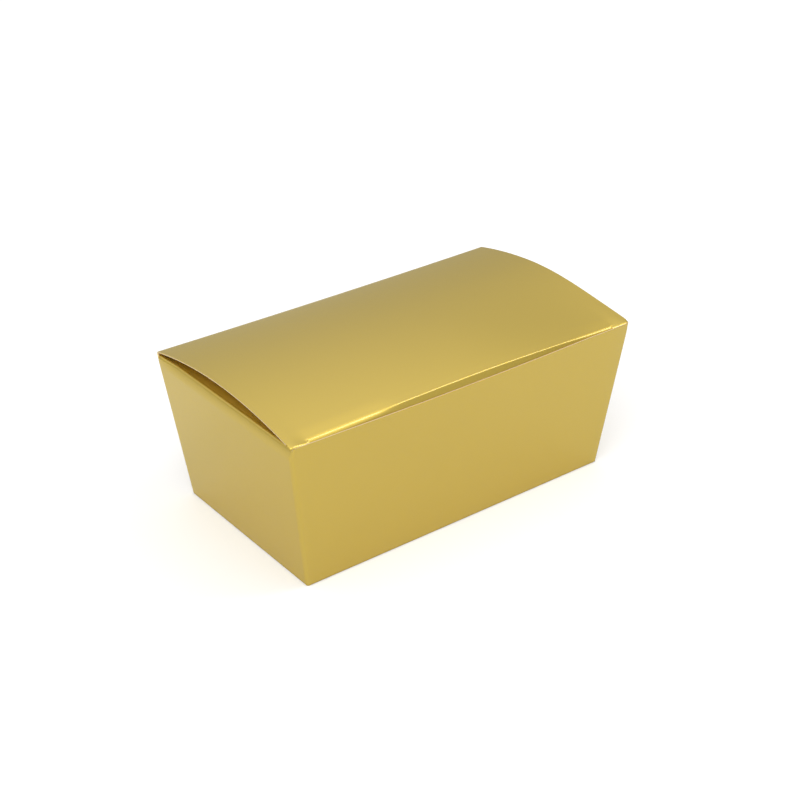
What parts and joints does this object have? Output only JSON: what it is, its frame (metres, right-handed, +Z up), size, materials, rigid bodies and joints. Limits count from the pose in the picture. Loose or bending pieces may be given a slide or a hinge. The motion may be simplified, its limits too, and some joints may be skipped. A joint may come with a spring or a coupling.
{
  "type": "candy box",
  "caption": "Flared folding carton for sweets, with an arched lid hinged at the rear that tucks in behind the front wall.",
  "frame": {"origin": "centre of the base, on the underside of its end flaps, where the box stands", "axes": "+X along the box, the front wall that the lid tucks behind faces -Y, +Z up"},
  "size_m": [0.13, 0.0745, 0.0561],
  "materials": {
    "gold_board": "satin"
  },
  "bodies": {
    "carton": {"front_wall": "gold_board", "back_wall": "gold_board", "left_wall": "gold_board", "right_wall": "gold_board", "corner_fold_front_left": "gold_board", "corner_fold_front_right": "gold_board", "corner_fold_rear_left": "gold_board", "corner_fold_rear_right": "gold_board", "glue_tab": "gold_board", "base_flap_left": "gold_board", "base_flap_right": "gold_board", "glue_lug_left": "gold_board", "glue_lug_right": "gold_board", "base_flap_front": "gold_board", "base_flap_back": "gold_board", "lid_crease": "gold_board", "left_flap_crease": "gold_board", "right_flap_crease": "gold_board"},
    "lid": {"lid_panel": "gold_board", "tuck_crease": "gold_board"},
    "tuck": {"tuck_flap": "gold_board"},
    "end_flap_left": {"left_end_flap": "gold_board"},
    "end_flap_right": {"right_end_flap": "gold_board"}
  },
  "joints": [
    {"name": "lid_hinge", "type": "hinge", "parent": "carton", "child": "lid", "pos_m": [0, 0.03628, 0.051], "axis": [-1, 0, 0], "range_deg": [0, 120]},
    {"name": "tuck_hinge", "type": "hinge", "parent": "lid", "child": "tuck", "pos_m": [0, -0.0354, 0.051], "axis": [1, 0, 0], "range_deg": [0, 45]},
    {"name": "left_flap_hinge", "type": "hinge", "parent": "carton", "child": "end_flap_left", "pos_m": [-0.06468, 0, 0.05028], "axis": [0, -1, 0], "range_deg": [0, 100]},
    {"name": "right_flap_hinge", "type": "hinge", "parent": "carton", "child": "end_flap_right", "pos_m": [0.06468, 0, 0.05028], "axis": [0, 1, 0], "range_deg": [0, 100]}
  ],
  "couplings": [
    {"joint": "left_flap_hinge", "follows": "lid_hinge", "ratio": 0.83333},
    {"joint": "right_flap_hinge", "follows": "lid_hinge", "ratio": 0.83333}
  ]
}
